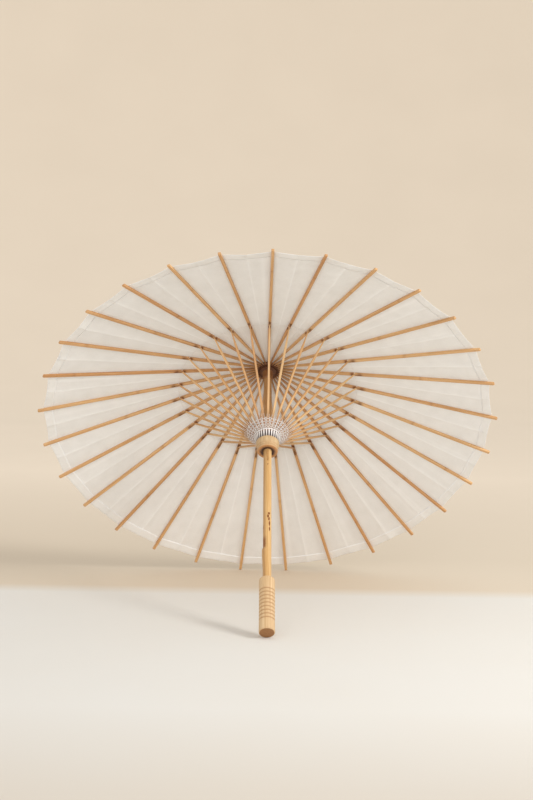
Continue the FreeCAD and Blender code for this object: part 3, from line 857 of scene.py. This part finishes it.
def crown_patch(material):
    """The round patch of paper over the ribs' inner ends, under the finial."""
    width = CROWN_PATCH_RADIUS - CROWN_PATCH_HOLE
    profile = []
    for k in range(8):
        radius = CROWN_PATCH_HOLE + width * k / 7
        profile.append((radius, cone_height(radius) + PAPER_BASE + 0.0009))
    vertices, faces = lathe(profile, 87)
    faces = [tuple(reversed(face)) for face in faces]
    piece = new_piece("crown_patch", vertices, faces, material, PLACE, 60.0)
    paint(piece, "crease", [0.0] * len(vertices))
    thicken(piece, 0.0003)
    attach(piece, "root")


# ---- the turned pieces ----
SHAFT_SCARS = (
    (-66.0, -0.216, 18.0, 0.0026), (-80.0, -0.222, 13.0, 0.0036), (-64.0, -0.228, 12.0, 0.0048),
    (-60.0, -0.238, 12.0, 0.0062), (-58.0, -0.250, 11.0, 0.0044), (-92.0, -0.094, 7.0, 0.0022),
    (-86.0, -0.104, 6.0, 0.0020), (-150.0, -0.246, 5.0, 0.0080),
)                            # brown pits in the bamboo: degrees round, height, half width, half height
BRANCH_ANGLE = math.radians(-168.0)
SCAR_ANGLE = math.radians(-148.0)
BRANCH_TOP = -0.266
BRANCH_BOTTOM = -0.291


def angle_between(a, b):
    return abs((a - b + math.pi) % math.tau - math.pi)


def branch_share(angle, z):
    """1 in the middle of the cut branch's scar on the shaft's left, 0 away from it."""
    round_it = math.exp(-((angle_between(angle, SCAR_ANGLE) / 0.42) ** 2))
    middle, half = (BRANCH_TOP + BRANCH_BOTTOM) / 2, (BRANCH_TOP - BRANCH_BOTTOM) / 2
    return round_it * math.exp(-(((z - middle) / (half * 0.75)) ** 4))


def scar_share(angle, z):
    """How brown the shaft is at a point: small pits and the bark left in the branch's cut."""
    worst = branch_share(angle, z) ** 0.4 * (0.85 + 0.6 * noise.noise(Vector((angle * 9, 0, z * 420))))
    for degrees, height, wide, high in SHAFT_SCARS:
        aside = math.degrees(angle_between(angle, math.radians(degrees)))
        away = math.hypot(aside / wide, (z - height) / high)
        ragged = away + 0.5 * noise.noise(Vector((angle * 14, 3, z * 700)))
        worst = max(worst, smoothstep(1.15 - ragged, 0.0, 0.35))
    return min(1.0, max(0.0, worst))


def shaft_radius(radius, angle, z):
    """The bamboo stick isn't quite round, and steps out to the left below its cut branch."""
    wobble = 0.00012 * noise.noise(Vector((2 * math.cos(angle), 2 * math.sin(angle), z * 14)))
    step = 0.0017 * smoothstep(-z, -BRANCH_BOTTOM - 0.003, -BRANCH_BOTTOM + 0.001)
    step *= smoothstep(z, -0.344, -0.300) * max(0.0, math.cos(angle - BRANCH_ANGLE)) ** 1.5
    dent = 0.0007 * branch_share(angle, z)
    pits = 0.00012 * scar_share(angle, z) if radius > SHAFT_RADIUS * 0.9 else 0.0
    return radius + wobble + step - dent - pits


def painted_shaft_shade(point):
    """Painted shade on the stick: browner at its upper end in the shade of the stretchers, and down its left
    side, away from the key light.
    """
    upper = 0.9 * smoothstep(point.z, -0.030, 0.010)
    away = angle_between(math.atan2(point.y, point.x), BRANCH_ANGLE)
    return max(upper, 0.55 * smoothstep(math.radians(62) - away, 0.0, 0.4))


def shaft_piece(material):
    length = SHAFT_TOP - SHAFT_BOTTOM
    end_radius = SHAFT_RADIUS - 0.0005
    count = int(length / 0.0015)
    profile = [(0, SHAFT_BOTTOM), (end_radius, SHAFT_BOTTOM)]
    profile += [(SHAFT_RADIUS, SHAFT_BOTTOM + length * k / count) for k in range(1, count)]
    profile += [(end_radius, SHAFT_TOP), (0, SHAFT_TOP)]
    vertices, faces = lathe(profile, 72, shaft_radius)
    piece = new_piece("shaft_stick", vertices, faces, material, PLACE, 50.0)
    paint(piece, "scar_and_painted_shade", [scar_share(math.atan2(v.y, v.x), v.z) for v in vertices])
    # painted shade on the stick's upper end and left side
    paint(piece, "node_ring_and_painted_shade", [painted_shaft_shade(v) for v in vertices])
    cut_pocket(piece)
    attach(piece, "root")
    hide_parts("shaft")


def cut_pocket(piece):
    """Cuts the catch's pocket out of the front of the shaft."""
    xs = (-CATCH_POCKET_WIDTH / 2, CATCH_POCKET_WIDTH / 2)
    ys = (-2 * SHAFT_RADIUS, -CATCH_POCKET_FLOOR)
    zs = (CATCH_POCKET_BOTTOM, CATCH_POCKET_TOP)
    corners = [Vector((x, y, z)) for x in xs for y in ys for z in zs]
    sides = [(0, 1, 3, 2), (4, 6, 7, 5), (0, 4, 5, 1), (2, 3, 7, 6), (0, 2, 6, 4), (1, 5, 7, 3)]
    cutter = new_piece("pocket_cutter", corners, sides, piece.data.materials[0])
    cut = piece.modifiers.new("pocket", "BOOLEAN")
    cut.object = cutter
    cut.operation = "DIFFERENCE"
    cut.solver = "EXACT"
    graph = bpy.context.evaluated_depsgraph_get()
    made = bpy.data.meshes.new_from_object(piece.evaluated_get(graph))
    piece.modifiers.clear()
    piece.data = made
    bpy.data.objects.remove(cutter)


def handle_profile():
    """(radius, z, how deep in a groove) down the handle, from its top to the middle of its end."""
    shoulder = (HANDLE_RADIUS - HANDLE_SHOULDER, HANDLE_TOP - HANDLE_SHOULDER)
    edge = (HANDLE_RADIUS - HANDLE_EDGE, HANDLE_BOTTOM + HANDLE_EDGE)
    points = [(0, HANDLE_TOP, 0.0), (SHAFT_RADIUS, HANDLE_TOP, 0.5)]
    points += [(SHAFT_RADIUS + 0.0008, HANDLE_TOP, 0.2)]
    points += [(radius, z, 0.0) for radius, z in arc(shoulder, HANDLE_SHOULDER, 90, 0, 8)]
    first = GROOVE_TOP + GROOVE_PITCH / 2
    count = GROOVE_COUNT * 14
    for k in range(count + 1):
        z = first - GROOVE_COUNT * GROOVE_PITCH * k / count
        crest = abs(math.sin(math.pi * (z - GROOVE_TOP) / GROOVE_PITCH))
        depth = (1 - crest) ** 1.6
        points.append((HANDLE_RADIUS - GROOVE_DEPTH * depth, z, depth))
    points.append((HANDLE_RADIUS, edge[1] + 0.002, 0.0))
    points += [(radius, z, 0.2) for radius, z in arc(edge, HANDLE_EDGE, 0, -90, 6)]
    points += [(HANDLE_RADIUS * 0.5, HANDLE_BOTTOM, 0.0), (0, HANDLE_BOTTOM, 0.0)]
    return points


def handle_piece(wood, end):
    profile = handle_profile()
    segments = 72
    vertices, faces = lathe([(r, z) for r, z, _ in profile], segments)
    faces = [tuple(reversed(face)) for face in faces]
    piece = new_piece("handle_grip", vertices, faces, wood, PLACE, 50.0)
    depths = []
    for radius, z, depth in profile:
        depths += [depth] if radius == 0 else [depth] * segments
    paint(piece, "groove", depths)
    piece.data.materials.append(end)
    for polygon in piece.data.polygons:
        if polygon.center.z < HANDLE_BOTTOM + 0.0001:
            polygon.material_index = 1
    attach(piece, "root")
    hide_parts("handle")


def finial_piece(wood):
    """The turned knob on the crown, hollow over the shaft's end."""
    seat = cone_height(FINIAL_RADIUS) + PAPER_BASE + 0.0016
    inner = cone_height(SHAFT_RADIUS) + PAPER_BASE + 0.0016
    profile = [(0, inner + 0.002), (SHAFT_RADIUS, inner)]
    profile += [(FINIAL_RADIUS - 0.0006, seat)]
    profile += arc((FINIAL_RADIUS - 0.0011, seat + 0.0012), 0.0011, -80, 80, 6)
    profile += [(0.0128, seat + 0.0026), (0.0124, seat + 0.0034)]
    profile += arc((0.0112, 0.1455), 0.0016, -50, 70, 5)
    for k in range(1, 13):
        angle = math.pi / 2 * k / 12
        height = 0.1475 + (FINIAL_TOP - 0.1475) * math.sin(angle) ** 1.1
        profile.append((0.0024 + 0.0080 * math.cos(angle) ** 0.8, height))
    profile.append((0, FINIAL_TOP))
    vertices, faces = lathe(profile, 64)
    piece = new_piece("finial_knob", vertices, faces, wood, PLACE, 50.0)
    paint(piece, "groove", [0.8 if abs(v.z - seat - 0.003) < 0.0005 else 0.0 for v in vertices])
    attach(piece, "root")
    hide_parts("finial")


def finish_cad_nodes(white):
    """Materials for the CAD pieces that stay as they are."""
    looks = {
        "top_notch": notch_wood_painted_shade(),
        "runner": runner_wood(),
        "catch": catch_wood(),
    }
    looks |= dict.fromkeys(("runner_thread", "top_notch_thread"), white)
    looks |= dict.fromkeys(("handle_pin", "top_notch_pin", "catch_pin"), dowel_wood())
    for node, material in looks.items():
        mesh = frame["nodes"][node].data
        mesh.materials.clear()
        mesh.materials.append(material)


# ---- floor, light and camera ----
FLOOR_RADIUS = 3.2
BACKDROP_HEIGHT = 6.0
LIGHT_SPREAD = math.radians(120.0)


def floor_material():
    """Plain pale floor: light in front of the umbrella, in beige shade behind it, and one tone far out."""
    look = Look("floor_plain", 0.75)
    look.surface.inputs["Specular IOR Level"].default_value = 0.2
    coords = look.coords()
    aside = look.part(coords, 0)
    depth = look.part(coords, 1)
    # darker towards the camera: painted falloff of the light
    front = look.mix(look.fit(depth, -0.75, -1.25), srgb(220, 218, 213), srgb(206, 198, 186))
    shade = look.mix(look.fit(aside, 0.10, 0.42), srgb(211, 197, 177), srgb(214, 201, 182))
    wall = look.mix(look.fit(depth, 0.45, 1.7), shade, srgb(246, 232, 213))
    colour = look.mix(look.fit(depth, 0.06, 0.13), front, wall)
    colour = look.mix(look.fit(look.radius(coords), 1.7, 3.1), colour, srgb(246, 232, 213))
    mottle = look.noise(coords, 3.0, 2.0)
    colour = look.mix(look.fit(mottle, 0.3, 0.7, 0.0, 0.08), colour, srgb(216, 202, 182))
    return look.finish(colour)


def backdrop():
    """A round floor that curves up into a wall far outside. The wall shows but shuts out no light."""
    material = floor_material()
    disc = [(0, 0.0)] + [(FLOOR_RADIUS * k / 16, 0.0) for k in range(1, 17)]
    wall = [(FLOOR_RADIUS, 0.0)]
    wall += [(FLOOR_RADIUS + x, z + 3.0) for x, z in arc((0, 0), 3.0, -90, 0, 16)]
    wall += [(FLOOR_RADIUS + 3.0, BACKDROP_HEIGHT)]
    for name, profile in (("floor", disc), ("backdrop_wall", wall)):
        vertices, faces = lathe(profile, 96)
        faces = [tuple(reversed(face)) for face in faces]
        piece = new_piece(name, vertices, faces, material, Matrix.Identity(4))
        if name == "backdrop_wall":
            piece.visible_diffuse = False
            piece.visible_glossy = False
            piece.visible_shadow = False


def area_light(name, direction, distance, size, power, colour):
    """A soft square light that looks at the middle of the umbrella from direction."""
    data = bpy.data.lights.new(name, "AREA")
    data.size = size
    data.spread = LIGHT_SPREAD
    data.energy = power
    data.color = colour
    light = bpy.data.objects.new(name, data)
    bpy.context.scene.collection.objects.link(light)
    target = Vector((0, 0, 0.3))
    light.location = target + Vector(direction).normalized() * distance
    light.rotation_euler = (target - light.location).to_track_quat("-Z", "Y").to_euler()


def lights():
    world = bpy.data.worlds.new("studio")
    world.use_nodes = True
    background = world.node_tree.nodes["Background"]
    background.inputs["Color"].default_value = (1.0, 0.965, 0.915, 1.0)
    background.inputs["Strength"].default_value = 0.805
    bpy.context.scene.world = world
    area_light("key", (0.78, -0.42, 0.50), 2.6, 0.7, 17.0, (1.0, 0.99, 0.97))
    area_light("fill", (-0.15, -0.97, 0.2), 3.2, 1.8, 14.8, (0.98, 0.97, 1.0))


def camera():
    """The photograph's viewpoint: in front of the handle and a little above it."""
    data = bpy.data.cameras.new("camera")
    data.lens = 86.9
    data.sensor_width = 36.0
    data.clip_end = 100.0
    eye = bpy.data.objects.new("camera", data)
    bpy.context.scene.collection.objects.link(eye)
    eye.location = (-0.0451, -3.3193, 0.6563)
    eye.rotation_euler = (math.radians(84.771), math.radians(-1.026), math.radians(-0.626))
    bpy.context.scene.camera = eye


# ---- the umbrella ----
def build():
    x_axis, z_axis = 0, 2
    tones = srgb(224, 184, 132), srgb(204, 158, 106), srgb(150, 102, 58)
    rib_bamboo = bamboo("rib_bamboo", x_axis, *tones)
    tones = srgb(234, 200, 150), srgb(212, 170, 118), srgb(160, 114, 70)
    stretcher_bamboo = bamboo("stretcher_bamboo", x_axis, *tones)
    tones = srgb(224, 192, 138), srgb(205, 166, 108), srgb(172, 128, 76)
    shaft_bamboo = bamboo("shaft_bamboo", z_axis, *tones)
    tones = srgb(237, 235, 231), srgb(248, 247, 245), srgb(255, 254, 252)
    cover = paper("cover_paper", *tones, through=0.25)
    tones = srgb(236, 233, 227), srgb(246, 244, 240), srgb(255, 255, 254)
    rim = paper("strip_paper", *tones, through=0.12)
    white = thread("white_thread", srgb(255, 254, 253), srgb(218, 212, 208))
    fine = thread("joint_cotton", srgb(248, 244, 240), srgb(220, 212, 204))
    rib_pieces(rib_bamboo)
    stretchers = stretcher_pieces(stretcher_bamboo)
    lacing_pieces(stretchers, white)
    joint_thread_pieces(fine)
    runner_binding(white)
    panel_pieces(cover)
    rim_pieces(rim)
    crown_patch(cover)
    shaft_piece(shaft_bamboo)
    wood = handle_wood()
    handle_piece(wood, end_grain())
    finial_piece(wood)
    finish_cad_nodes(white)


build()
backdrop()
lights()
camera()
bpy.context.scene.view_settings.view_transform = "Standard"
